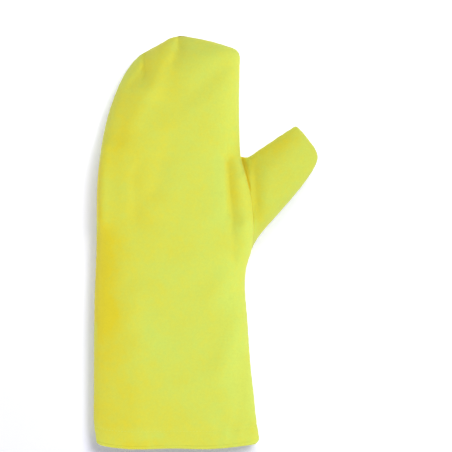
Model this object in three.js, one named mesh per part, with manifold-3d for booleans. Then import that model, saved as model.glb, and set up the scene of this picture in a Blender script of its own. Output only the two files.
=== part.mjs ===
// A fire-resistant mitten of yellow aramid cloth, for the left hand. It lies on its palm: +Y is towards the
// fingertips and +X towards the thumb. A back panel and a palm panel are sewn together round the hand, a
// thumb of two more panels is set into their side seam, and the cuff's edge is turned in as a hem. The hollow
// inside is open at the cuff. Lengths are in millimetres, and the drawing's zero is the middle of the cuff's
// edge, on the table.
import * as THREE from "three";
import { mergeVertices } from "three/addons/utils/BufferGeometryUtils.js";
import Module from "manifold-3d";

const wasm = await Module();
wasm.setup();

// Driving dimensions
const LENGTH = 380; // cuff's edge to fingertips
const THUMB_REACH = 130; // the cuff's middle to the thumb's far side
const CUFF_HALF = 76; // the cuff's middle to the little finger's side
const WALL = 2.5; // outer cloth and its padding
const SEAM_GAP = 0.3; // between two panels
const SEAM_HEIGHT = 15; // the side seams above the table
const TIP_SEAM_HEIGHT = 10.5;
const TIP_SEAM_FROM = 300; // where the seam starts to come down towards the tip
const FULL_CROWN = 41; // the mitten's greatest height
const HEM_WIDTH = 17;
const HEM_THICKNESS = 1.6;
const HEM_SET_BACK = 0.5; // from the cuff's edge
const HEM_LIFT = 5; // how far the hem's ends at the side seams draw back from its middle
const HEM_LIFT_POWER = 9; // how close to the seams that stays
const HEM_LIFT_FADE = 45; // the length over which that dies out
const ROOT_RISE = 16; // how far the hand's upper cloth is held up above the side seam, along the thumb's root
const ROOT_SPAN = { from: 165, full: 202, fading: 246, to: 270 }; // where along the hand it is

// The hand from the cuff to the tip. Each row is one section: the point of its little finger side, the point
// of its thumb side, the height of its crown, and the number of stations up to the next row.
const HAND_SECTIONS = [
  { leftX: -73.3, leftY: 0, rightX: 76.8, rightY: 0, crown: 31, steps: 3 },
  { leftX: -75.6, leftY: 14, rightX: 75.8, rightY: 14, crown: 33, steps: 3 },
  { leftX: -CUFF_HALF, leftY: 45, rightX: 72.1, rightY: 45, crown: 35.5, steps: 3 },
  { leftX: -75.9, leftY: 80, rightX: 68.5, rightY: 80, crown: 37.5, steps: 4 },
  { leftX: -75.7, leftY: 120, rightX: 65.8, rightY: 120, crown: 38.5, steps: 3 },
  { leftX: -74.8, leftY: 152, rightX: 63.5, rightY: 152, crown: 39.5, steps: 2 },
  { leftX: -74.2, leftY: 167, rightX: 65.1, rightY: 167, crown: 39.8, steps: 2 },
  { leftX: -73.6, leftY: 182, rightX: 69.3, rightY: 182, crown: 40, steps: 3 },
  { leftX: -73.4, leftY: 205, rightX: 71.4, rightY: 205, crown: 40.5, steps: 3 },
  { leftX: -73.3, leftY: 230, rightX: 69.3, rightY: 230, crown: FULL_CROWN, steps: 3 },
  { leftX: -72.2, leftY: 252, rightX: 63.8, rightY: 252, crown: FULL_CROWN, steps: 2 },
  { leftX: -70.3, leftY: 269, rightX: 59.7, rightY: 269, crown: 40.5, steps: 3 },
  { leftX: -66.2, leftY: 293, rightX: 58.5, rightY: 293, crown: 39.5, steps: 3 },
  { leftX: -60.4, leftY: 315, rightX: 58.2, rightY: 315, crown: 37.5, steps: 3 },
  { leftX: -51.8, leftY: 337, rightX: 58.4, rightY: 337, crown: 34, steps: 2 },
  { leftX: -42.8, leftY: 352, rightX: 58.6, rightY: 352, crown: 30.5, steps: 2 },
  { leftX: -34, leftY: 361.3, rightX: 58.3, rightY: 362.5, crown: 27, steps: 2 },
  { leftX: -24, leftY: 368.3, rightX: 54.3, rightY: 368.6, crown: 23.5, steps: 2 },
  { leftX: -14.5, leftY: 373.8, rightX: 42, rightY: 372.8, crown: 20, steps: 2 },
  { leftX: -5, leftY: 378, rightX: 26, rightY: 376.8, crown: 16, steps: 1 },
  { leftX: 4, leftY: LENGTH, rightX: 6, rightY: LENGTH, crown: 12.5, steps: 1 },
];

// The thumb from its root inside the hand to its tip, with its crotch side on the left and its wrist side on
// the right.
const THUMB_SECTIONS = [
  { leftX: 44, leftY: 254, rightX: 48, rightY: 168, crown: 31.5, steps: 2 },
  { leftX: 58, leftY: 264, rightX: 64, rightY: 167, crown: 32, steps: 2 },
  { leftX: 66, leftY: 268.5, rightX: 70, rightY: 184.5, crown: 32.5, steps: 2 },
  { leftX: 75.6, leftY: 274.3, rightX: 78.6, rightY: 198, crown: 32.5, steps: 3 },
  { leftX: 87.2, leftY: 281.5, rightX: 94, rightY: 216, crown: 31.6, steps: 3 },
  { leftX: 98.6, leftY: 288.8, rightX: 110, rightY: 236, crown: 29.3, steps: 2 },
  { leftX: 105, leftY: 292.8, rightX: 119.5, rightY: 249, crown: 27, steps: 2 },
  { leftX: 110.5, leftY: 295.6, rightX: 126.8, rightY: 261.3, crown: 24.5, steps: 2 },
  { leftX: 114.8, leftY: 292.2, rightX: THUMB_REACH, rightY: 268.8, crown: 21.5, steps: 1 },
  { leftX: 119, leftY: 287.3, rightX: 127.6, rightY: 275.5, crown: 18.8, steps: 1 },
  { leftX: 122.6, leftY: 282.6, rightX: 123.6, rightY: 281.2, crown: 16.5, steps: 1 },
];

// Folds in the upper cloth. Each row runs from one point to another, and rises (+) or sinks (-) by its
// height.
const HAND_FOLDS = [
  { fromX: 2.8, fromY: 378, toX: -4, toY: 361, width: 4, height: -2.4 }, // crease under the tip's peak
  { fromX: -10, fromY: 366, toX: -22, toY: 330, width: 9, height: 1.8 }, // crest beside it
  { fromX: -22, fromY: 330, toX: -38, toY: 300, width: 9, height: 1.2 },
  { fromX: -27.7, fromY: 360.6, toX: -31.4, toY: 346, width: 4, height: -1.8 }, // second crease
  { fromX: -31.4, fromY: 346, toX: -41.5, toY: 334, width: 4.5, height: -1.8 },
  { fromX: -45, fromY: 322, toX: -51, toY: 287, width: 8, height: -1.4 }, // hollow down the outer side
  { fromX: 48, fromY: 357, toX: 10, toY: 318, width: 9, height: -1 }, // soft diagonal from the square corner
  { fromX: 46.6, fromY: 266, toX: 49.8, toY: 199, width: 5, height: -2.5 }, // long crease beside the thumb
  { fromX: 49.8, fromY: 199, toX: 54.4, toY: 171, width: 5, height: -2.5 }, // its lower end
  { fromX: 57, fromY: 262, toX: 62, toY: 205, width: 7, height: 2 }, // cloth held up at the thumb's root
  { fromX: 62, fromY: 205, toX: 62, toY: 180, width: 7, height: 1.6 },
  { fromX: 43, fromY: 188, toX: 52, toY: 173, width: 4, height: -1.4 }, // short crease running into it
  { fromX: -12.5, fromY: 264, toX: -18, toY: 233, width: 9, height: -1.1 }, // dents in the middle of the hand
  { fromX: -18, fromY: 233, toX: -36, toY: 222, width: 8, height: -0.7 },
  { fromX: -36, fromY: 243, toX: -37, toY: 214, width: 8, height: -0.8 },
  { fromX: -33, fromY: 209, toX: -15, toY: 207, width: 7, height: -0.6 },
  { fromX: -37, fromY: 143, toX: -42, toY: 113, width: 10, height: 1.5 }, // edge of the flat crown
  { fromX: -36, fromY: 95, toX: -35, toY: 12, width: 10, height: 1.3 },
  { fromX: -60, fromY: 172, toX: -60, toY: 25, width: 11, height: -1.8 }, // slack between it and the side
  { fromX: 50, fromY: 162, toX: 31, toY: 139, width: 9, height: 1.1 }, // drag lines from the wrist
  { fromX: 58, fromY: 118, toX: 36, toY: 63, width: 9, height: 1.4 },
  { fromX: 63, fromY: 80, toX: 59, toY: 22, width: 9, height: -1.6 },
];
const THUMB_FOLDS = [
  { fromX: 62.5, fromY: 268.5, toX: 68.6, toY: 240, width: 4, height: -3.5 }, // the tuck in the crotch
  { fromX: 73, fromY: 262, toX: 74, toY: 224, width: 5, height: -1.3 }, // hollow at the thumb's root
  { fromX: 89, fromY: 258, toX: 84, toY: 212, width: 8, height: 1.5 }, // ridge beyond it
];

// Each form: its table, its folds, how far it is held up above the seam on its right side, how square its
// sections are above, and the facets across the upper cloth's outer face and inner face.
const HAND = {
  rows: HAND_SECTIONS, folds: HAND_FOLDS, rise: ROOT_RISE, square: 2.7, outerFacets: 28, innerFacets: 18,
};
const THUMB = {
  rows: THUMB_SECTIONS, folds: THUMB_FOLDS, rise: 0, square: 2.5, outerFacets: 16, innerFacets: 10,
};
const LOWER_FACETS = 3; // in the lower cloth: up each side, and again across the part that rests on the table
const FOLD_REACH = 2.5; // how near to the seams the folds keep their full height
const FULL_SAG = 1.45; // how soon the lower cloth sags fully, as the crown rises
const LOWER_SQUARE = 3.5; // the cloth under the mitten is squarer than its crown
const REST_PRESS = 5; // how far the lower cloth would sag below the table, where it lies flat
const EDGE_SPACING = 0.6; // 0 spaces the facets evenly, 1 gathers them at the seams
const MOUTH_CUT = 20; // how far the hollow's tool reaches out of the cuff
const LEAST_HOLLOW = 3; // the hollow ends where less than this is left of it above the seam

const smooth = (low, high, v) => THREE.MathUtils.smoothstep(v, low, high);
const seamHeight = (y) =>
  THREE.MathUtils.lerp(SEAM_HEIGHT, TIP_SEAM_HEIGHT, smooth(TIP_SEAM_FROM, LENGTH, y));

// How much of a form's rise there is at a point: all of it on the right side, along the thumb's root.
function riseShare(s, y) {
  const begun = smooth(ROOT_SPAN.from, ROOT_SPAN.full, y);
  const left = 1 - smooth(ROOT_SPAN.fading, ROOT_SPAN.to, y);
  return smooth(0.5, 1, s) * begun * left;
}

// The height that a form's folds add at a point: each is a soft wave across its line, fading past its ends.
function foldHeight(folds, x, y) {
  return folds.reduce((sum, f) => {
    const dx = f.toX - f.fromX;
    const dy = f.toY - f.fromY;
    const along = ((x - f.fromX) * dx + (y - f.fromY) * dy) / (dx * dx + dy * dy);
    const nearest = THREE.MathUtils.clamp(along, 0, 1);
    const off = Math.hypot(x - f.fromX - nearest * dx, y - f.fromY - nearest * dy);
    return sum + f.height * Math.exp(-((off / f.width) ** 2));
  }, 0);
}

// One edge of a form as a smooth curve through its table, whose z holds the crown's height.
function edgeCurve(rows, side) {
  const points = rows.map((r) => new THREE.Vector3(r[side + "X"], r[side + "Y"], r.crown));
  return new THREE.CatmullRomCurve3(points, false, "centripetal");
}

// A point of an edge, moved inwards by the inset. The turn is 1 for a left edge and -1 for a right one.
function edgePoint(curve, t, inset, turn) {
  const p = curve.getPoint(t);
  const d = curve.getTangent(t).setZ(0).normalize();
  return new THREE.Vector3(p.x + turn * d.y * inset, p.y - turn * d.x * inset, p.z - inset);
}

// How the cloth fills a section, from 0 at the seams to 1 in the middle.
const fill = (s, square) => Math.sqrt(Math.max(0, 1 - Math.abs(2 * s - 1) ** square));

// The lower cloth's points from right to left, with one where the cloth first touches the table on each side.
function lowerShares(seam) {
  const touching = (1 - (seam / (seam + REST_PRESS)) ** 2) ** (1 / LOWER_SQUARE);
  const shares = [];
  for (let i = 1; i < 3 * LOWER_FACETS; i++) {
    const [band, along] = [Math.floor(i / LOWER_FACETS), (i % LOWER_FACETS) / LOWER_FACETS];
    const stops = [1, touching, -touching, -1];
    shares.push((1 + THREE.MathUtils.lerp(stops[band], stops[band + 1], along)) / 2);
  }
  return shares;
}

// The ring of points round a form at station t: over the upper cloth from left to right, down to the seam,
// and back under it.
function ringAt(form, edges, t, inset, mouth) {
  const left = edgePoint(edges.left, t, inset, 1);
  const right = edgePoint(edges.right, t, inset, -1);
  const crown = (left.z + right.z) / 2;
  if (inset > 0 && crown - seamHeight(left.y) < LEAST_HOLLOW) return null;
  const point = (s, upper) => {
    const p = left.clone().lerp(right, s);
    const seam = seamHeight(p.y);
    if (upper) {
      const share = fill(s, form.square);
      const free = Math.min(1, FOLD_REACH * share);
      const base = seam + form.rise * riseShare(s, p.y);
      p.z = base + (crown - base) * share + foldHeight(form.folds, p.x, p.y) * free;
    } else {
      const share = fill(s, LOWER_SQUARE);
      const fullness = (crown + inset - seam) / (FULL_CROWN - SEAM_HEIGHT);
      const sag = (seam + REST_PRESS) * Math.min(1, FULL_SAG * fullness);
      p.z = Math.max(seam - (sag - inset) * share, inset);
    }
    const atSides = Math.abs(2 * s - 1) ** HEM_LIFT_POWER;
    p.y += mouth ? HEM_LIFT * atSides * (1 - smooth(0, HEM_LIFT_FADE, p.y)) : 0;
    return p;
  };
  const even = (i, n) => (1 - EDGE_SPACING) * (i / n);
  const gathered = (i, n) => (EDGE_SPACING * (1 - Math.cos((Math.PI * i) / n))) / 2;
  const ring = [];
  const facets = inset > 0 ? form.innerFacets : form.outerFacets;
  for (let i = 0; i <= facets; i++) ring.push(point(even(i, facets) + gathered(i, facets), true));
  ring.push(point(1, false));
  lowerShares(seamHeight(left.y)).forEach((s) => ring.push(point(s, false)));
  return ring;
}

// A closed skin over a row of rings, with a fan at each end.
function skin(rings) {
  const count = rings[0].length;
  const points = rings.flat();
  const middle = (ring) => ring.reduce((sum, p) => sum.add(p), new THREE.Vector3()).divideScalar(count);
  points.push(middle(rings[0]), middle(rings.at(-1)));
  const first = points.length - 2;
  const index = [];
  for (let j = 0; j < count; j++) {
    const k = (j + 1) % count;
    for (let i = 0; i < rings.length - 1; i++) {
      const [a, b, c, d] = [i * count + j, i * count + k, (i + 1) * count + j, (i + 1) * count + k];
      index.push(a, b, c, c, b, d);
    }
    const end = (rings.length - 1) * count;
    index.push(first, k, j, first + 1, end + j, end + k);
  }
  return new THREE.BufferGeometry().setFromPoints(points).setIndex(index);
}

// A three.js geometry as a solid that can be joined and cut, and back. Facets that close up to nothing, where
// the upper cloth isn't held up above the seam, are left out.
function solidOf(geometry) {
  const bare = geometry.clone();
  bare.deleteAttribute("normal");
  bare.deleteAttribute("uv");
  const merged = mergeVertices(bare, 1e-4);
  const facets = [];
  for (let i = 0; i < merged.index.count; i += 3) {
    const facet = [0, 1, 2].map((k) => merged.index.getX(i + k));
    if (new Set(facet).size === 3) facets.push(...facet);
  }
  return new wasm.Manifold(
    new wasm.Mesh({
      numProp: 3,
      vertProperties: new Float32Array(merged.attributes.position.array),
      triVerts: new Uint32Array(facets),
    }),
  );
}
function geometryOf(solid) {
  const mesh = solid.getMesh();
  const geometry = new THREE.BufferGeometry();
  geometry.setAttribute("position", new THREE.BufferAttribute(mesh.vertProperties, 3));
  geometry.setIndex(new THREE.BufferAttribute(mesh.triVerts, 1));
  geometry.computeVertexNormals();
  return geometry;
}

// A form filled out as one solid, its skin moved inwards by the inset. The hand's sections at the mouth are
// drawn back at the side seams, a hollow's tool can run on out of the mouth, and a solid can be set back.
function formSolid(form, inset, { mouth = false, opened = false, setBack = 0 } = {}) {
  const edges = { left: edgeCurve(form.rows, "left"), right: edgeCurve(form.rows, "right") };
  const last = form.rows.length - 1;
  const rings = [];
  form.rows.forEach((row, i) => {
    const steps = i === last ? 1 : row.steps;
    for (let k = 0; k < steps; k++) {
      const ring = ringAt(form, edges, (i + k / steps) / last, inset, mouth);
      if (ring) rings.push(ring);
    }
  });
  if (opened) rings.unshift(rings[0].map((p) => new THREE.Vector3(p.x, -MOUTH_CUT, p.z)));
  return solidOf(skin(rings).translate(0, setBack, 0));
}

// Everything above or below the seam, whose side view is drawn in the Y-Z plane and extruded across X.
function seamSide(above) {
  const [low, high, across] = [-60, LENGTH + 60, 500];
  const shift = above ? SEAM_GAP / 2 : -SEAM_GAP / 2;
  const outline = new THREE.Shape();
  outline.moveTo(low, above ? across : -across);
  const steps = 24;
  for (let i = 0; i <= steps; i++) {
    const y = THREE.MathUtils.lerp(low, high, i / steps);
    outline.lineTo(y, seamHeight(y) + shift);
  }
  outline.lineTo(high, above ? across : -across);
  const slab = new THREE.ExtrudeGeometry(outline, { depth: across, bevelEnabled: false, steps: 1 });
  slab.applyMatrix4(new THREE.Matrix4().makeBasis(
    new THREE.Vector3(0, 1, 0),
    new THREE.Vector3(0, 0, 1),
    new THREE.Vector3(1, 0, 0),
  ));
  slab.translate(-across / 2, 0, 0);
  return solidOf(slab);
}

// The hand and the thumb as hollow skins. The thumb stops short of the hand, and its hollow opens into the
// hand's.
const thumbHollow = formSolid(THUMB, WALL);
const handSkin = formSolid(HAND, 0, { mouth: true })
  .subtract(formSolid(HAND, WALL, { mouth: true, opened: true }))
  .subtract(thumbHollow);
const thumbSkin = formSolid(THUMB, 0)
  .subtract(thumbHollow)
  .subtract(formSolid(HAND, -SEAM_GAP));

// The hem: a second layer just inside the mouth, cut off at its width.
const pastHem = new THREE.BoxGeometry(400, 2 * LENGTH, 200).translate(0, HEM_WIDTH + LENGTH, 0);
const hemOuter = formSolid(HAND, WALL + SEAM_GAP, { mouth: true, setBack: HEM_SET_BACK });
const hemInner = formSolid(HAND, WALL + SEAM_GAP + HEM_THICKNESS, { mouth: true, opened: true });
const hemSkin = hemOuter.subtract(hemInner).subtract(solidOf(pastHem));

const cloth = (name, color) =>
  new THREE.MeshStandardMaterial({ name, color, roughness: 0.85, metalness: 0, side: THREE.FrontSide });
const outerCloth = cloth("aramid_cloth", 0xdee664);
const lowerCloth = cloth("aramid_cloth_lower", 0xd9d552);

function piece(name, solid, material) {
  const mesh = new THREE.Mesh(geometryOf(solid), material);
  mesh.name = name;
  return mesh;
}

const above = seamSide(true);
const below = seamSide(false);
const mitten = new THREE.Group();
mitten.add(
  piece("back_panel", handSkin.intersect(above), outerCloth),
  piece("palm_panel", handSkin.intersect(below), lowerCloth),
  piece("thumb_back", thumbSkin.intersect(above), outerCloth),
  piece("thumb_palm", thumbSkin.intersect(below), lowerCloth),
  piece("cuff_hem", hemSkin, lowerCloth),
);
// The part's origin is under the middle of the box that the mitten fills.
mitten.position.set((CUFF_HALF - THUMB_REACH) / 2, -LENGTH / 2, 0);

export default mitten;
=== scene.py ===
# A fire-resistant mitten of yellow aramid cloth, for the left hand. It lies on its palm, with the
# fingertips towards +Y and the thumb towards +X. The tables and lengths are in millimetres from the middle
# of the cuff's edge, on the table top.
import math

import bmesh
import bpy
import numpy as np
from mathutils import Matrix, Vector


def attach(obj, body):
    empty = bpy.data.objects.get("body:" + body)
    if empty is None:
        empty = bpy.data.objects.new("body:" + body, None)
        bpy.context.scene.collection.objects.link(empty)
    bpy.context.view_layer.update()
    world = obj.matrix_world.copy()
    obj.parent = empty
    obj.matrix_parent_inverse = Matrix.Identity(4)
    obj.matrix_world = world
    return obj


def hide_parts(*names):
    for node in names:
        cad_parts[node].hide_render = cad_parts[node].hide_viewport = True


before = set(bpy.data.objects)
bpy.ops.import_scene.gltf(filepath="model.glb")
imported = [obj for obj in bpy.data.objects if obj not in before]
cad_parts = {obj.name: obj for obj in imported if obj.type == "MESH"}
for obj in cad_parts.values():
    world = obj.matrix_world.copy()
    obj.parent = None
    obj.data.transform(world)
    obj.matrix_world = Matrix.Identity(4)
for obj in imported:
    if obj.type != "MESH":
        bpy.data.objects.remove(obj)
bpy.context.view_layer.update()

# Back panel
# The cloth over the back of the hand: padded aramid cloth, cut to the hand's outline and sewn to the palm
# panel from the inside, so that its edges turn in at the seam. Along the thumb's root its edge is held up.

MM = 0.001
CUFF_MIDDLE = np.array([-27.0, -190.0, 0.0])
WALL = 2.5
SEAM_GAP = 0.3
SEAM_ROLL = 1.7
SEAM_HEIGHT = 15
TIP_SEAM_HEIGHT = 10.5
TIP_SEAM_FROM = 300
LENGTH = 380
FULL_CROWN = 41
LEFT_SQUARE = 4.4
RIGHT_SQUARE = 3.4
PALM_SQUARE = 3.5
FULL_SAG = 1.45
REST_PRESS = 5
ROOT_RISE = 16
ROOT_DROP = 9
ROOT_SPAN = (165, 202, 246, 270)
ROOT_UNROLLED = 0.6
FOLDS_FROM_SEAM = 2.5
HEM_FADE = 45
LIP_DEPTH = 3.4
STITCHED_AT = 12.6
# how strongly shade is painted into the cloth beside its seams and in its creases
SEAM_SHADE = 0.45
CREASE_SHADE = 0.08
PALM_TONES = 0.3

# left x, left y, right x, right y, crown
HAND_ROWS = np.array([
    (-73.9, 0, 76.8, 0, 31),
    (-75.8, 14, 74.9, 14, 33),
    (-76, 45, 72.1, 45, 35.5),
    (-75.9, 80, 68.5, 80, 37.5),
    (-75.7, 120, 65.8, 120, 38.5),
    (-74.8, 152, 63.5, 152, 39.5),
    (-74.2, 167, 65.1, 167, 39.8),
    (-73.6, 182, 69.3, 182, 40),
    (-73.4, 205, 71.4, 205, 40.5),
    (-73.3, 230, 69.3, 230, 41),
    (-72.2, 252, 63.8, 252, 41),
    (-70.3, 269, 59.7, 269, 40.5),
    (-66.2, 293, 58.5, 293, 39.5),
    (-60.4, 315, 58.2, 315, 37.5),
    (-51.8, 337, 58.4, 337, 34),
    (-43.1, 352.3, 58.6, 352, 30.5),
    (-34.5, 361.9, 58.8, 362.5, 27),
    (-24, 368.3, 55.8, 367.6, 23.5),
    (-14.5, 373.4, 42, 372.8, 20),
    (-5.2, 378.8, 26, 377.2, 16),
    (4.2, 381, 5.6, 381, 10.7),
])
HAND_LEFT = HAND_ROWS[:, [0, 1, 4]]
HAND_RIGHT = HAND_ROWS[:, [2, 3, 4]]

# from x, from y, to x, to y, reach on its left, reach on its right, height, how sharp
HAND_FOLDS = [
    (2, 379, 1.8, 371, 2.5, 8, -2.8, 0.6),
    (0.8, 366, -3, 356, 3, 6, -1.4, 0.4),
    (-10, 368, -22, 330, 8, 8, 1.9, 0),
    (-22, 330, -38, 300, 9, 9, 1.2, 0),
    (-29.6, 361, -30.4, 349, 2.5, 9, -3.4, 0.5),
    (-33.5, 343, -41.5, 334, 4, 6, -1.5, 0.2),
    (-45, 322, -51, 287, 8, 8, -1.4, 0),
    (-68.5, 278, -70.5, 212, 5, 8.5, 6, 0),
    (48, 357, 10, 318, 9, 9, -1, 0),
    (46.6, 266, 50.1, 217, 3, 9, -3.4, 0.6),
    (49, 246, 52.8, 200, 3, 9, -0.9, 0.1),
    (50.8, 203, 54.4, 176, 4, 7, -1.3, 0.5),
    (57, 262, 62, 205, 7, 7, 2, 0),
    (62, 205, 62, 180, 7, 7, 1.6, 0),
    (44, 190, 53, 174, 4, 4, -0.8, 0.3),
    (-12.5, 264, -17, 238, 7, 9, -1.4, 0.1),
    (-26, 229, -35, 223, 8, 8, -0.6, 0),
    (-38, 252, -37, 216, 5, 8, -1.6, 0.2),
    (-33, 209, -15, 207, 7, 7, -0.6, 0),
    (-37, 143, -42, 113, 10, 10, 1.5, 0),
    (-36, 95, -35, 12, 10, 10, 1.3, 0),
    (-60, 172, -60, 25, 11, 11, -0.4, 0),
    (50, 162, 31, 139, 9, 9, 1.1, 0),
    (58, 118, 36, 63, 9, 9, 1.4, 0),
    (63, 80, 59, 22, 9, 9, -1.6, 0),
    (-36.5, 18, -36, 6, 1.5, 3, 0.5, 0.4),
    (-28.5, 17, -28, 6, 2, 2, 0.4, 0),
    (-20.5, 16, -20.5, 6, 2, 2, 0.4, 0),
]

# Soft patches of painted shade and light in the cloth's hue: warmer (+) where shade falls, as on the little
# finger's side and in creases, and greener (-) where light falls, laid out like the folds without the last
# number
LIGHT_AND_SHADE_TONES = [
    (-75, 310, -76, 280, 9, 9, 0.2),
    (-77, 250, -78, 218, 8, 7, 0.45),
    (-72, 262, -71.5, 200, 3, 5, 0.5),
    (-71, 192, -72, 120, 6, 18, 0.83),
    (-76, 100, -76, 30, 9, 16, 0.4),
    (-58, 110, -56, 22, 12, 16, 0.18),
    (-44, 3.4, -30, 3.2, 5, 4, 0.2),
    (-62, 3.4, -16, 3, 6, 5, 0.1),
    (-36, 15, -14, 13, 5, 6, -0.2),
    (-62, 82, -48, 56, 10, 10, 0.12),
    (-58, 136, -56, 128, 8, 8, 0.12),
    (-28, 128, -18, 100, 12, 12, -0.15),
    (46, 95, 56, 25, 14, 14, -0.08),
    (36, 24, 44, 14, 8, 8, -0.15),
    (-50, 280, -50, 130, 20, 26, 0.2),
    (-16, 355, -50, 314, 14, 18, 0.22),
    (-57, 295, -63, 262, 12, 15, 0.3),
    (-2, 354, -10, 280, 16, 15, 0.2),
    (2, 374, 14, 372, 7, 8, -0.12),
    (-22, 366, -1, 378, 5, 5, 0.12),
    (-36, 316, -38, 288, 14, 14, 0.2),
    (-25, 75, -25, 40, 14, 14, 0.15),
    (-28, 262, -15, 195, 20, 20, 0.15),
    (12, 225, 20, 180, 14, 14, 0.1),
    (52, 130, 56, 85, 12, 12, -0.12),
    (-42, 95, -45, 45, 16, 16, 0.15),
    (-50, 16, 15, 14, 22, 22, 0.28),
    (41, 264, 45, 215, 9, 4, -0.3),
    (48.5, 262, 52.5, 232, 2.5, 7.5, 0.38),
    (57.5, 240, 59.5, 214, 7, 6, 0.14),
    (70, 264, 74, 215, 6, 9, 0.4),
    (88, 270, 104, 245, 22, 22, 0.1),
    (80, 274, 102, 284, 8, 10, 0.35),
    (44, 160, 48, 140, 12, 12, -0.2),
    (66, 75, 68, 30, 14, 8, -0.2),
]

# x, y of the cuff's edge
MOUTH_LINE = np.array([
    (-76, 5.7),
    (-73, 3.5),
    (-69, 2.2),
    (-58.8, 0.6),
    (-43.3, -0.7),
    (-27.9, -0.7),
    (-12.5, 0),
    (1.8, 0.2),
    (13.3, -0.2),
    (28.6, -0.4),
    (44.3, 0.5),
    (59.7, 2.2),
    (72.9, 3.6),
    (77.5, 6.4),
])


def smooth(low, high, v):
    w = np.clip((v - low) / (high - low), 0, 1)
    return w * w * (3 - 2 * w)


def spline(points, t):
    # a centripetal curve through the points, read at places t from 0 to 1
    ends = np.vstack([2 * points[0] - points[1], points, 2 * points[-1] - points[-2]])
    gap = np.maximum(np.linalg.norm(np.diff(ends, axis=0), axis=1), 1e-4) ** 0.5
    place = np.clip(t, 0, 1) * (len(points) - 1)
    i = np.minimum(place.astype(int), len(points) - 2)
    w = (place - i)[:, None]
    p0, p1, p2, p3 = (ends[i + k] for k in range(4))
    d0, d1, d2 = (gap[i + k][:, None] for k in range(3))
    m1 = d1 * ((p1 - p0) / d0 - (p2 - p0) / (d0 + d1) + (p2 - p1) / d1)
    m2 = d1 * ((p2 - p1) / d1 - (p3 - p1) / (d1 + d2) + (p3 - p2) / d2)
    near = p1 * (2 * w**3 - 3 * w**2 + 1) + m1 * (w**3 - 2 * w**2 + w)
    return near + p2 * (3 * w**2 - 2 * w**3) + m2 * (w**3 - w**2)


def edge(points, t, turn):
    # an outline's points, the way inwards from them, and the crown's height there
    p = spline(points, t)
    ahead = (spline(points, t + 1e-4) - spline(points, t - 1e-4))[:, :2]
    ahead /= np.linalg.norm(ahead, axis=1)[:, None]
    inwards = turn * np.stack([ahead[:, 1], -ahead[:, 0]], axis=1)
    return p[:, :2], inwards, p[:, 2]


def stations(left, right, count):
    # places along a form whose rows lie evenly, however fast its two edges run
    t = np.linspace(0, 1, 2001)
    outlines = [spline(side, t)[:, :2] for side in (left, right)]
    steps = [np.linalg.norm(np.diff(outline, axis=0), axis=1) for outline in outlines]
    run = np.concatenate([[0], np.cumsum(np.maximum(*steps))])
    return np.interp(np.linspace(0, run[-1], count + 1), run, t)


def columns(count, rolled):
    # shares across a panel, and how far each column has come out of the seam at its left and at its right
    i = np.arange(count + 1)
    w = np.clip((i - rolled) / (count - 2 * rolled), 0, 1)
    shares = 0.1 * w + 0.9 * (1 - np.cos(math.pi * w)) / 2
    left = np.clip(i / rolled, 0, 1) * math.pi / 2
    right = np.clip((count - i) / rolled, 0, 1) * math.pi / 2
    return shares, left, right


def fill(s, square):
    return np.sqrt(np.maximum(0, 1 - np.abs(2 * s - 1) ** square))


def seam_height(y):
    return SEAM_HEIGHT + (TIP_SEAM_HEIGHT - SEAM_HEIGHT) * smooth(TIP_SEAM_FROM, LENGTH, y)


def root_share(y):
    return smooth(ROOT_SPAN[0], ROOT_SPAN[1], y) * (1 - smooth(ROOT_SPAN[2], ROOT_SPAN[3], y))


def fold_height(folds, x, y):
    total = np.zeros_like(x)
    for x0, y0, x1, y1, reach_left, reach_right, height, sharp in folds:
        dx, dy = x1 - x0, y1 - y0
        along = np.clip(((x - x0) * dx + (y - y0) * dy) / (dx * dx + dy * dy), 0, 1)
        off_x, off_y = x - x0 - along * dx, y - y0 - along * dy
        reach = np.where(off_x < 0, reach_left, reach_right)
        q = np.hypot(off_x, off_y) / reach
        crease = np.exp(-(np.sqrt(q * q + 0.02) - 0.14))
        total += height * (sharp * crease + (1 - sharp) * np.exp(-q * q))
    return total


def tone_at(x, y):
    return sum(fold_height([(*patch, 0)], x, y) for patch in LIGHT_AND_SHADE_TONES)


def ripple(x, y, size, seed):
    # patternless waves about that size across, from -1 to 1
    chance = np.random.default_rng(seed)
    total = np.zeros_like(x)
    for _ in range(9):
        angle, phase, stretch = chance.uniform((0, 0, 0.7), (math.pi, 2 * math.pi, 1.6))
        ahead = x * math.cos(angle) + y * math.sin(angle)
        total += np.sin(2 * math.pi * ahead / (size * stretch) + phase)
    return total / 4.5


def rest_on(z, floor):
    # cloth that comes down to the floor lies on it, with a soft turn
    return floor + (z - floor + np.sqrt((z - floor) ** 2 + 0.5)) / 2


def spread(left, right, s):
    # rows of places between the points of a left and a right edge
    return left[:, None] * (1 - s)[None, :, None] + right[:, None] * s[None, :, None]


def full_roll(crown, seam):
    # how far the cloth's edge rolls into its seam
    return np.minimum(SEAM_ROLL, 0.3 * (crown - seam))


def roll_in(flat, from_left, from_right, roll, cols, depth):
    # moves a face's edges into their seams, and says how far under the seam each place lies
    _, roll_left, roll_right = cols
    if depth > 0:
        return flat, 2 - (roll_left + roll_right) / (math.pi / 2)
    for inwards, turn in ((from_left, roll_left), (from_right, roll_right)):
        flat = flat + inwards[:, None] * (roll * (1 - np.sin(turn)))[..., None]
    return flat, np.cos(roll_left) + np.cos(roll_right)


def crowned(base, crown, share, folds, x, y, depth):
    # cloth that rises from its seams to the crown, with its folds
    free = np.minimum(1, FOLDS_FROM_SEAM * share)
    return base + (crown - depth - base) * share + fold_height(folds, x, y) * free


def sagging(hung_from, seam, crown, share, depth):
    # cloth that hangs from its seams and lies on the table
    fullness = (crown - seam) / (FULL_CROWN - SEAM_HEIGHT)
    sag = (seam + REST_PRESS) * np.minimum(1, FULL_SAG * fullness)
    return rest_on(hung_from - (sag - depth) * share, depth)


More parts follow.
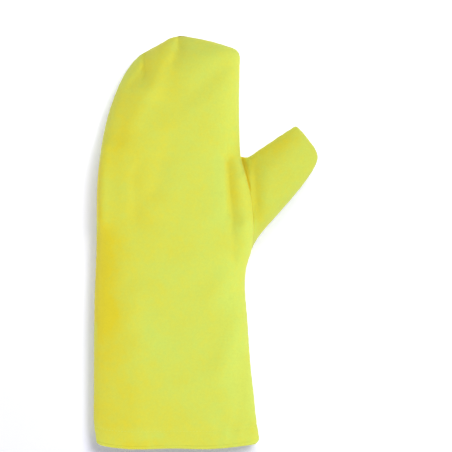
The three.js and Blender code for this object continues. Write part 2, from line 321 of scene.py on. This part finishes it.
def hand_face(t, cols, depth, upper, rolled=True):
    # one face of the hand's cloth, at that depth under its outside
    s = cols[0]
    left, from_left, crown_left = edge(HAND_LEFT, t, 1)
    right, from_right, crown_right = edge(HAND_RIGHT, t, -1)
    crown = ((crown_left + crown_right) / 2)[:, None]
    flat = spread(left + from_left * depth, right + from_right * depth, s)
    seam = seam_height(flat[..., 1])
    roll = full_roll(crown, seam) if rolled else 0 * seam
    roll = roll * (1 - ROOT_UNROLLED * smooth(0.9, 1, s) * root_share(flat[..., 1]))
    flat, under = roll_in(flat, from_left, from_right, roll, cols, depth)
    x, y = flat[..., 0], flat[..., 1]
    clear = roll * (1 - under) + SEAM_GAP / 2
    if not rolled:
        clear = (SEAM_ROLL + SEAM_GAP / 2) * smooth(0, 0.05, np.minimum(s, 1 - s))
    if upper:
        share = fill(s, np.where(s < 0.5, LEFT_SQUARE, RIGHT_SQUARE))
        base = seam + ROOT_RISE * (smooth(0.5, 1, s) * root_share(y)) + clear
        z = crowned(base, crown, share, HAND_FOLDS, x, y, depth)
    else:
        share = fill(s, PALM_SQUARE)
        hung_from = seam - ROOT_DROP * smooth(0.8, 1, s) * root_share(y) - clear
        z = sagging(hung_from, seam, crown, share, depth)
    drawn_back = (np.interp(x, *MOUTH_LINE.T) + LIP_DEPTH) * (1 - smooth(0, HEM_FADE, y))
    return np.stack([x, y + drawn_back, z], axis=2)


def normals(face):
    along, across = np.gradient(face, axis=0), np.gradient(face, axis=1)
    n = np.cross(across, along)
    length = np.linalg.norm(n, axis=2, keepdims=True)
    return n / np.maximum(length, 1e-9)


def run_from_start(face, axis):
    steps = np.linalg.norm(np.diff(face, axis=axis), axis=2)
    return np.insert(np.cumsum(steps, axis=axis), 0, 0, axis=axis)


def distance_from_seam(face):
    across = run_from_start(face, 1)
    return np.minimum(across, across[:, -1:] - across)


def painted_shade_mask(face, folds):
    # painted shade where the cloth dips into a seam or a crease, from 0 to 1
    crease = np.maximum(0, -fold_height(folds, face[..., 0], face[..., 1]))
    return np.clip(SEAM_SHADE * np.exp(-distance_from_seam(face) / 1.2) + CREASE_SHADE * crease, 0, 1)


def puckers(height, size, reach, place, seed, from_seam):
    # slight puckers in the cloth beside its seams
    waves = ripple(place, place * 0, size, seed)
    return height * waves * np.exp(-from_seam / reach) * smooth(0.5, 3, from_seam)


def cloth_wall(name, outside, inside, shade_mask, upper=True):
    # a closed wall of cloth between its two faces, with a UV map in metres along the cloth
    rows, cols = outside.shape[0] - 1, outside.shape[1] - 1
    bm = bmesh.new()
    bmesh.ops.create_grid(bm, x_segments=cols, y_segments=rows, size=1)
    bmesh.ops.solidify(bm, geom=bm.faces[:], thickness=1)
    across = run_from_start(outside, 1)
    across = across - across[:, -1:] / 2
    along = run_from_start(outside, 0)
    along = along[:, cols // 2][:, None] + 0 * along
    level = max(v.co.z for v in bm.verts) + min(v.co.z for v in bm.verts)
    cloth_uv = bm.loops.layers.uv.new("cloth")
    # the painted shade of the seams and creases, and the painted shade and light of the tones, go into
    # vertex layers
    shade_layer = bm.verts.layers.float.new("crease")
    toned = bm.verts.layers.float.new("tone")
    tones = tone_at(outside[..., 0], outside[..., 1]) * (1 if upper else PALM_TONES)
    # the grid's upper layer becomes the outside, and its lower layer the inside
    places = [(outside + CUFF_MIDDLE) * MM, (inside + CUFF_MIDDLE) * MM]
    spots = {}
    for v in bm.verts:
        i, j = round((v.co.x + 1) / 2 * cols), round((v.co.y + 1) / 2 * rows)
        spots[v] = (j, i)
        v[shade_layer] = shade_mask[j, i]
        v[toned] = tones[j, i]
        v.co = places[v.co.z < level / 2][j, i]
    for face in bm.faces:
        face.smooth = True
        for loop in face.loops:
            spot = spots[loop.vert]
            loop[cloth_uv].uv = (across[spot] * MM, along[spot] * MM)
    return finish_cloth(bm, name)


def finish_cloth(bm, name):
    bmesh.ops.recalc_face_normals(bm, faces=bm.faces[:])
    for e in bm.edges:
        if len(e.link_faces) == 2 and e.calc_face_angle(0) > 1.1:
            e.smooth = False
    mesh = bpy.data.meshes.new(name)
    bm.to_mesh(mesh)
    bm.free()
    piece = bpy.data.objects.new(name, mesh)
    bpy.context.scene.collection.objects.link(piece)
    return piece


BACK_COLUMNS = columns(118, 5)
FIRST_ROW = 14
MOUTH_ROWS = np.array([0, 0.25, 0.6, 1.1]) / FIRST_ROW / (len(HAND_ROWS) - 1)
MOUTH_ROLL = np.array([0.03, 0.01, 0, 0])
BACK_STATIONS = np.concatenate([MOUTH_ROWS, stations(HAND_LEFT, HAND_RIGHT, 250)[1:]])
HOLLOW_END = 0.92
HEM_WAVE = 0.28
STITCH_DENT = 0.35
HAND_UNEVEN = 0.36


def hand_panel(upper, cols, rows):
    # the two faces of a panel of the hand, with its puckers, its wavy hem and the dents of its stitches, and
    # where shade is painted on it
    outside = hand_face(rows, cols, 0, upper)
    inside = hand_face(rows * HOLLOW_END, cols, WALL, upper)
    n = normals(outside) * (1 if upper else -1)
    x, y = outside[..., 0], outside[..., 1]
    along = run_from_start(outside, 0)
    from_seam = distance_from_seam(outside)
    side = np.where(x < 0, 0.0, 500.0)
    pucker = puckers(height=0.3, size=8, reach=7, place=along + side, seed=3, from_seam=from_seam)
    hem = HEM_WAVE * ripple(x, x * 0, 9, 11) * smooth(0, 4, along) * (1 - smooth(12, 24, along))
    stitched = -STITCH_DENT * np.exp(-(((along - STITCHED_AT) / 1.1) ** 2))
    uneven = HAND_UNEVEN * ripple(x, y, 34, 5) * smooth(2, 20, from_seam) * smooth(0, 8, along)
    lift = pucker * smooth(0, 3, along) + hem + stitched + uneven * (1 if upper else 0)
    lift[: len(MOUTH_ROLL)] -= MOUTH_ROLL[:, None]
    settle = 1 if upper else smooth(0.2, 3, outside[..., 2])
    outside = outside + n * (lift * settle)[..., None]
    return outside, inside, painted_shade_mask(outside, HAND_FOLDS if upper else [])


cloth = bpy.data.materials.new("aramid_cloth")
cloth.use_nodes = True
tree = cloth.node_tree
shader = tree.nodes["Principled BSDF"]
shader.inputs["Roughness"].default_value = 0.82
shader.inputs["Specular IOR Level"].default_value = 0.45
shader.inputs["Sheen Weight"].default_value = 0.12
shader.inputs["Sheen Roughness"].default_value = 0.55
shader.inputs["Sheen Tint"].default_value = (1, 1, 0.92, 1)


def math_node(operation, first, second=None, clamp=False):
    node = tree.nodes.new("ShaderNodeMath")
    node.operation = operation
    node.use_clamp = clamp
    for socket, value in zip(node.inputs, (first, second)):
        if isinstance(value, (int, float)):
            socket.default_value = value
        elif value is not None:
            tree.links.new(value, socket)
    return node.outputs[0]


def noise_node(vector, scale, detail, rough=0.5):
    node = tree.nodes.new("ShaderNodeTexNoise")
    node.inputs["Scale"].default_value = scale
    node.inputs["Detail"].default_value = detail
    node.inputs["Roughness"].default_value = rough
    tree.links.new(vector, node.inputs["Vector"])
    return node.outputs["Fac"]


def mix_colours(share, first, second):
    node = tree.nodes.new("ShaderNodeMix")
    node.data_type = "RGBA"
    tree.links.new(share, node.inputs[0])
    for socket, value in zip((node.inputs[6], node.inputs[7]), (first, second)):
        if isinstance(value, tuple):
            socket.default_value = value
        else:
            tree.links.new(value, socket)
    return node.outputs[2]


YARN = 0.0011
uv_map = tree.nodes.new("ShaderNodeUVMap")
uv_map.uv_map = "cloth"
uv_axes = tree.nodes.new("ShaderNodeSeparateXYZ")
tree.links.new(uv_map.outputs["UV"], uv_axes.inputs[0])
warp = math_node("SINE", math_node("MULTIPLY", uv_axes.outputs["X"], math.pi / YARN))
weft = math_node("SINE", math_node("MULTIPLY", uv_axes.outputs["Y"], math.pi / YARN))
warp_size = math_node("ABSOLUTE", warp)
weft_size = math_node("ABSOLUTE", weft)
over = math_node("GREATER_THAN", math_node("MULTIPLY", warp, weft), 0)
warp_on_top = math_node("MULTIPLY", warp_size, math_node("POWER", weft_size, 0.4))
weft_on_top = math_node("MULTIPLY", weft_size, math_node("POWER", warp_size, 0.4))
warp_part = math_node("MULTIPLY", warp_on_top, over)
weft_part = math_node("MULTIPLY", weft_on_top, math_node("SUBTRACT", 1, over))
weave = math_node("ADD", warp_part, weft_part)

# Patches of a few centimetres, blotches of a few millimetres, slubs in the yarn, and fine fibres
place = tree.nodes.new("ShaderNodeTexCoord")
patches = noise_node(place.outputs["Object"], 34, 3)
blotches = noise_node(place.outputs["Object"], 170, 3, 0.6)
slubs = noise_node(place.outputs["Object"], 560, 2, 0.6)
fibres = noise_node(place.outputs["Object"], 2600, 2)
# the painted shade of seams and creases, and the painted shade and light of the tones, read from their
# vertex layers
shade_attribute = tree.nodes.new("ShaderNodeAttribute")
shade_attribute.attribute_name = "crease"
tone = tree.nodes.new("ShaderNodeAttribute")
tone.attribute_name = "tone"

# The cloth's own lime, which the tones also use for painted light; a warmer yellow for its random patches
# and the tones' painted shade; and a deeper orange painted as shade into seams and creases
LIME = (0.67, 0.795, 0.113, 1)
WARM = (0.8, 0.685, 0.014, 1)
SHADE_COLOUR = (0.78, 0.61, 0.012, 1)
# The warmth is random patches of the cloth's own colour, plus the painted shade and light of the tones
mixed = math_node("ADD", math_node("MULTIPLY", patches, 0.6), -0.08)
mixed = math_node("ADD", mixed, math_node("MULTIPLY", math_node("SUBTRACT", blotches, 0.5), 0.6))
warmth = math_node("ADD", mixed, tone.outputs["Fac"], clamp=True)
base = mix_colours(warmth, LIME, WARM)
# painted shade: the seams and creases are coloured a deeper orange
base = mix_colours(math_node("MULTIPLY", shade_attribute.outputs["Fac"], 0.9, clamp=True), base, SHADE_COLOUR)
yarn_shade = math_node("ADD", math_node("MULTIPLY", weave, 0.05), 0.885)
yarn_shade = math_node("ADD", yarn_shade, math_node("MULTIPLY", slubs, 0.1))
yarn_shade = math_node("ADD", yarn_shade, math_node("MULTIPLY", blotches, 0.07))
shaded = tree.nodes.new("ShaderNodeVectorMath")
shaded.operation = "SCALE"
tree.links.new(base, shaded.inputs[0])
tree.links.new(yarn_shade, shaded.inputs["Scale"])
tree.links.new(shaded.outputs[0], shader.inputs["Base Color"])

weave_bump = tree.nodes.new("ShaderNodeBump")
weave_bump.inputs["Strength"].default_value = 0.35
weave_bump.inputs["Distance"].default_value = 0.00012
tree.links.new(math_node("ADD", weave, math_node("MULTIPLY", fibres, 0.5)), weave_bump.inputs["Height"])
slack_bump = tree.nodes.new("ShaderNodeBump")
slack_bump.inputs["Strength"].default_value = 0.7
slack_bump.inputs["Distance"].default_value = 0.0004
tree.links.new(blotches, slack_bump.inputs["Height"])
tree.links.new(weave_bump.outputs[0], slack_bump.inputs["Normal"])
tree.links.new(slack_bump.outputs[0], shader.inputs["Normal"])

back_outside, back_inside, back_shade = hand_panel(True, BACK_COLUMNS, BACK_STATIONS)
back_panel = cloth_wall("back_panel_cloth", back_outside, back_inside, back_shade)
back_panel.data.materials.append(cloth)
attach(back_panel, "root")
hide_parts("back_panel")

# Palm panel
# The cloth under the palm, cut like the back panel and sewn to it. The mitten's weight presses it flat on
# the table, and its sides curve up to the seams.

PALM_COLUMNS = columns(96, 4)
PALM_STATIONS = np.concatenate([MOUTH_ROWS, stations(HAND_LEFT, HAND_RIGHT, 190)[1:]])
palm_outside, palm_inside, palm_shade = hand_panel(False, PALM_COLUMNS, PALM_STATIONS)
palm_panel = cloth_wall("palm_panel_cloth", palm_outside, palm_inside, palm_shade, upper=False)
palm_panel.data.materials.append(cloth)
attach(palm_panel, "root")
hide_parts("palm_panel")

# Thumb panels
# Two pieces of the same cloth, sewn to each other along both sides of the thumb. Their root is sewn in under
# the held-up edge of the back panel, and they part from the hand in a narrow tuck at the crotch.

THUMB_SQUARE = 2.5
THUMB_LEAN = 0.3
THUMB_HOLLOW_END = 0.84
ROOT_TUCK = 0.3
ROOT_GROOVE = 1.6
TUCK_DEPTH = 0.55
TUCK_LINE = 1.6
TUCK_LINE_AT = 0.7
TUCK_FADE = (254, 267)
TUCK_START = (236, 244)
THUMB_UNEVEN = 0.2

# y, width of the tuck between the hand and the thumb
TUCK_ROWS = np.array([
    (235, 0),
    (240, 1.8),
    (247, 3.5),
    (254.5, 5.2),
    (260, 5.6),
    (265.5, 5),
    (270, 4.2),
])

# left x, left y, right x, right y, bulge of the middle, crown
THUMB_ROWS = np.array([
    (57.5, 269.3, 63.5, 165, 8.2, 31.8),
    (66.2, 268.4, 71.6, 187, 5, 31.8),
    (75.6, 274.3, 78.6, 198, 1.5, 32.2),
    (87.1, 281.9, 94.3, 215.8, 0, 31.6),
    (98.3, 289.4, 111, 235.2, 0, 29.3),
    (104.7, 293.5, 120.9, 248, 0, 27),
    (110.5, 296.8, 128.5, 260.2, 0, 24.5),
    (115.3, 293, 130.9, 268.4, 0, 21.5),
    (119.6, 288, 128.5, 276, 0, 18.8),
    (123.4, 283, 124, 282.2, 0, 15.2),
])
THUMB_LEFT = THUMB_ROWS[:, [0, 1, 5]]
THUMB_RIGHT = THUMB_ROWS[:, [2, 3, 5]]
THUMB_BULGE = THUMB_ROWS[:, 4]
THUMB_STATIONS = stations(THUMB_LEFT, THUMB_RIGHT, 130)
HAND_SIDE = spline(HAND_RIGHT, np.linspace(0, 0.8, 400))

# from x, from y, to x, to y, reach on its left, reach on its right, height, how sharp
THUMB_FOLDS = [
    (73, 262, 74, 224, 5, 7, -1.7, 0),
    (89, 258, 84, 212, 8, 9, 1.5, 0),
]


def beyond_hand(x, y):
    return x - np.interp(y, HAND_SIDE[:, 1], HAND_SIDE[:, 0])


def tuck_width(y):
    return np.interp(y, *TUCK_ROWS.T)


def tuck_share(y, beyond):
    # how deep in the tuck a place lies, from 0 to 1, at that distance beyond the hand's edge
    across = beyond / (tuck_width(y) + 0.1)
    profile = smooth(-0.1, 0.2, across) * (1 - smooth(0.5, 1.1, across))
    return np.minimum(1, tuck_width(y)) * profile


def thumb_face(t, cols, depth, upper):
    # one face of the thumb's cloth, at that depth under its outside
    s = cols[0]
    left, from_left, crown = edge(THUMB_LEFT, t, 1)
    right, from_right, _ = edge(THUMB_RIGHT, t, -1)
    crown = crown[:, None]
    bulge = np.interp(t, np.linspace(0, 1, len(THUMB_BULGE)), THUMB_BULGE)[:, None]
    flat = spread(left + from_left * depth, right + from_right * depth, s)
    flat[..., 0] += 4 * s * (1 - s) * bulge
    seam = seam_height(flat[..., 1])
    roll = full_roll(crown, seam)
    flat, under = roll_in(flat, from_left, from_right, roll, cols, depth)
    x, y = flat[..., 0], flat[..., 1]
    clear = roll * (1 - under) + SEAM_GAP / 2
    beyond = beyond_hand(x, y)
    if upper:
        lean = 1 + THUMB_LEAN * smooth(0.15, 0.4, t)[:, None]
        share = fill(s**lean, THUMB_SQUARE)
        z = crowned(seam + clear, crown, share, THUMB_FOLDS, x, y, depth)
        root = seam + np.maximum(clear, ROOT_RISE * root_share(y) - ROOT_TUCK) - depth * share
        out = smooth(-1.2, ROOT_GROOVE + 1.4 * tuck_width(y), beyond)
        z = np.minimum(root, z) * (1 - out) + z * out
        dip = TUCK_DEPTH * tuck_share(y, beyond) * (1 - smooth(*TUCK_FADE, y))
        line = TUCK_LINE * np.exp(-(((beyond - TUCK_LINE_AT) / 0.7) ** 2)) * smooth(*TUCK_START, y)
        z = np.maximum(z - (dip + line) * share, seam + clear)
    else:
        share = fill(s, PALM_SQUARE)
        z = sagging(seam - clear, seam, crown, share, depth)
        root = seam - np.maximum(clear, ROOT_DROP * root_share(y) - ROOT_TUCK) + depth * share
        out = smooth(-0.5, 6, beyond)
        z = np.maximum(root, z) * (1 - out) + z * out
    return np.stack([x, y, z], axis=2)


def thumb_panel(name, upper, cols):
    outside = thumb_face(THUMB_STATIONS, cols, 0, upper)
    inside = thumb_face(THUMB_STATIONS * THUMB_HOLLOW_END, cols, WALL, upper)
    n = normals(outside) * (1 if upper else -1)
    x, y = outside[..., 0], outside[..., 1]
    across, along = run_from_start(outside, 1), run_from_start(outside, 0)
    from_seam = distance_from_seam(outside)
    side = across / np.maximum(across[:, -1:], 1e-6) * 300
    pucker = puckers(height=0.25, size=7, reach=5, place=along + side, seed=21, from_seam=from_seam)
    uneven = THUMB_UNEVEN * ripple(x, y, 24, 8) * smooth(2, 14, from_seam)
    settle = 1 if upper else smooth(0.2, 3, outside[..., 2])
    outside = outside + n * ((pucker + uneven) * settle)[..., None]
    shade_mask = painted_shade_mask(outside, THUMB_FOLDS if upper else [])
    beyond = beyond_hand(outside[..., 0], outside[..., 1])
    # painted shade in the groove beside the hand's edge and in the tuck at the crotch
    shade_mask = np.maximum(shade_mask, 0.5 - 0.5 * smooth(-0.5, 1.5, beyond))
    shade_mask = np.maximum(shade_mask, tuck_share(outside[..., 1], beyond))
    piece = cloth_wall(name, outside, inside, shade_mask, upper)
    piece.data.materials.append(cloth)
    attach(piece, "root")
    return piece


thumb_back = thumb_panel("thumb_back_cloth", True, columns(72, 4))
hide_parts("thumb_back")
thumb_palm = thumb_panel("thumb_palm_cloth", False, columns(56, 4))
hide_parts("thumb_palm")

# Cuff hem
# The cuff's edge turned in round a soft lip and laid flat inside, in one ring round the mouth. It is held by
# one row of stitches, in thread of the cloth's own colour.

HEM_WIDTH = 17
HEM_INSET = WALL + SEAM_GAP
HEM_THICKNESS = 1.5
LIP_RADIUS = 2.15
STITCH_STEP = 3.0
STITCH_SIZE = (1.15, 0.3, 0.22)

lip_turn = np.linspace(0, math.pi, 11)
lip_out = [(LIP_RADIUS * (1 - math.sin(a)), LIP_RADIUS * (1 - math.cos(a))) for a in lip_turn]
outer_end = [(LIP_DEPTH - 0.05, 0.05), (LIP_DEPTH - 0.2, 0.01), (LIP_DEPTH - 0.6, 0)]
inner_face = [(y, HEM_INSET + HEM_THICKNESS) for y in (4, 6.5, 9, 12, 15)]
inner_end = [
    (HEM_WIDTH - 0.2, HEM_INSET + 1.3),
    (HEM_WIDTH, HEM_INSET + 0.75),
    (HEM_WIDTH - 0.2, HEM_INSET + 0.2),
]
outer_face = [(y, HEM_INSET) for y in (15, 12, 9, 6.5, 4, LIP_DEPTH)]
hem_path = outer_end + lip_out + inner_face + inner_end + outer_face
hem_path.append(hem_path[0])

# The hem follows the panels' own sections, read where they lie once the cuff's edge is drawn back
hem_shares = columns(150, 1)[0][1:-1]
not_turned = 0 * hem_shares + math.pi / 2
around = (hem_shares, not_turned, not_turned)
station_of = np.linspace(0, 0.1, 200)
middle_y = sum(spline(side, station_of)[:, 1] for side in (HAND_LEFT, HAND_RIGHT)) / 2
drawn_y = middle_y + LIP_DEPTH * (1 - smooth(0, HEM_FADE, middle_y))
loops = []
for y, depth in hem_path:
    t = np.array([np.interp(y, drawn_y, station_of)])
    halves = [hand_face(t, around, depth, upper, rolled=False)[0] for upper in (True, False)]
    for half in halves:
        half[:, 1] -= max(0, LIP_DEPTH - y)
    loops.append(np.vstack([halves[0], halves[1][-2:0:-1], halves[0][:1]]))
hem_skin = np.array(loops)
hem_run = run_from_start(hem_skin, 1)
hem_turned = run_from_start(hem_skin, 0)

bm = bmesh.new()
hem_rows, hem_cols = hem_skin.shape[0] - 1, hem_skin.shape[1] - 1
bmesh.ops.create_grid(bm, x_segments=hem_cols, y_segments=hem_rows, size=1)
cloth_uv = bm.loops.layers.uv.new("cloth")
# the painted shade and light of the tones, on the hem's outside only
toned = bm.verts.layers.float.new("tone")
hem_tones = tone_at(hem_skin[..., 0], hem_skin[..., 1]) * smooth(14, 20, hem_skin[..., 2])
spots = {}
for v in bm.verts:
    spots[v] = (round((v.co.y + 1) / 2 * hem_rows), round((v.co.x + 1) / 2 * hem_cols))
for face in bm.faces:
    face.smooth = True
    for loop in face.loops:
        j, i = spots[loop.vert]
        loop[cloth_uv].uv = (hem_run[j, i] * MM, hem_turned[j, i] * MM)
for v, spot in spots.items():
    v[toned] = hem_tones[spot]
    v.co = (hem_skin[spot] + CUFF_MIDDLE) * MM
bmesh.ops.remove_doubles(bm, verts=bm.verts[:], dist=1e-6)
cuff_hem = finish_cloth(bm, "cuff_hem_cloth")
cuff_hem.data.materials.append(cloth)
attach(cuff_hem, "root")
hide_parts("cuff_hem")

thread = bpy.data.materials.new("aramid_thread")
thread.use_nodes = True
thread_shader = thread.node_tree.nodes["Principled BSDF"]
thread_shader.inputs["Base Color"].default_value = (0.73, 0.77, 0.1, 1)
thread_shader.inputs["Roughness"].default_value = 0.6


def read_at(place_on, run, line):
    return np.array([np.interp(place_on, run, line[:, k]) for k in range(3)])


bm = bmesh.new()
size = Matrix.Diagonal([length * MM for length in STITCH_SIZE] + [1])
for outside, upper in ((back_outside, True), (palm_outside, False)):
    along = run_from_start(outside, 0)[:, outside.shape[1] // 2]
    row = int(np.argmin(np.abs(along - STITCHED_AT)))
    line = outside[row]
    n = normals(outside)[row] * (1 if upper else -1)
    run = np.concatenate([[0], np.cumsum(np.linalg.norm(np.diff(line, axis=0), axis=1))])
    for place_on in np.arange(2.5, run[-1] - 2, STITCH_STEP):
        spot = read_at(place_on, run, line)
        forward = Vector(read_at(place_on + 0.5, run, line) - spot).normalized()
        up = Vector(read_at(place_on, run, n)).normalized()
        aside = up.cross(forward).normalized()
        turn = Matrix((forward, aside, up)).transposed().to_4x4()
        shift = Matrix.Translation(Vector((spot + CUFF_MIDDLE) * MM))
        bmesh.ops.create_uvsphere(bm, u_segments=8, v_segments=5, radius=1, matrix=shift @ turn @ size)
for face in bm.faces:
    face.smooth = True
stitches = finish_cloth(bm, "hem_stitches")
stitches.data.materials.append(thread)
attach(stitches, "root")

# Table top, light and camera
# A white table top under a key light from the upper right and soft fills from every side. Some fills reach
# only the mitten, and one only the table. The camera looks straight down.

TABLE_HALF = 3
TABLE_GAP = 0.0003
CAMERA_AT = (0.0191, 0.01475, 2.215)

bm = bmesh.new()
bmesh.ops.create_grid(bm, x_segments=1, y_segments=1, size=TABLE_HALF)
bmesh.ops.translate(bm, verts=bm.verts[:], vec=(0, 0, -TABLE_GAP))
table_mesh = bpy.data.meshes.new("table_top")
bm.to_mesh(table_mesh)
bm.free()
table_top = bpy.data.objects.new("table_top", table_mesh)
bpy.context.scene.collection.objects.link(table_top)
white = bpy.data.materials.new("white_board")
white.use_nodes = True
white_shader = white.node_tree.nodes["Principled BSDF"]
white_shader.inputs["Base Color"].default_value = (0.88, 0.89, 0.95, 1)
white_shader.inputs["Emission Color"].default_value = (0.7, 0.685, 1, 1)
white_shader.inputs["Emission Strength"].default_value = 0.305
white_shader.inputs["Roughness"].default_value = 0.9
white_shader.inputs["Specular IOR Level"].default_value = 0.1
table_mesh.materials.append(white)

world = bpy.data.worlds.new("soft_room")
world.use_nodes = True
world.node_tree.nodes["Background"].inputs["Color"].default_value = (1, 1, 1, 1)
world.node_tree.nodes["Background"].inputs["Strength"].default_value = 0.2
bpy.context.scene.world = world


def soft_light(name, place_at, size, power, reaches=None):
    # a square of white light that faces the mitten's middle, and may reach only one collection
    lamp = bpy.data.lights.new(name, "AREA")
    lamp.shape = "SQUARE"
    lamp.size = size
    lamp.energy = power
    holder = bpy.data.objects.new(name, lamp)
    holder.location = place_at
    holder.rotation_euler = (-Vector(place_at)).to_track_quat("-Z", "Y").to_euler()
    bpy.context.scene.collection.objects.link(holder)
    if reaches is not None:
        holder.light_linking.receiver_collection = reaches


def group_of(name, pieces):
    group = bpy.data.collections.new(name)
    for piece in pieces:
        group.objects.link(piece)
    return group


hand_pieces = [back_panel, palm_panel, cuff_hem, stitches]
mitten_only = group_of("lit_by_the_wide_lights", [*hand_pieces, thumb_back, thumb_palm])
hand_only = group_of("lit_by_the_right_light", hand_pieces)
table_only = group_of("lit_by_the_table_light", [table_top])
soft_light("key_light", (0.95, 0.7, 2.3), 0.9, 35)
soft_light("top_light", (0.1, 1.9, 2.0), 1.2, 6)
soft_light("wide_light", (0.6, -3.45, 2.55), 3.0, 65, mitten_only)
soft_light("table_light", (0.5, 1.85, 1.7), 1.2, 29, table_only)
soft_light("left_light", (-2.2, -0.9, 0.55), 1.4, 21, mitten_only)
soft_light("right_light", (2.3, -0.5, 0.6), 1.2, 9, hand_only)

camera = bpy.data.cameras.new("camera")
camera.sensor_width = 36
camera.lens = 189.5
camera.clip_start = 0.1
camera.clip_end = 20
holder = bpy.data.objects.new("camera", camera)
holder.location = CAMERA_AT
bpy.context.scene.collection.objects.link(holder)
bpy.context.scene.camera = holder
bpy.context.scene.view_settings.view_transform = "Standard"
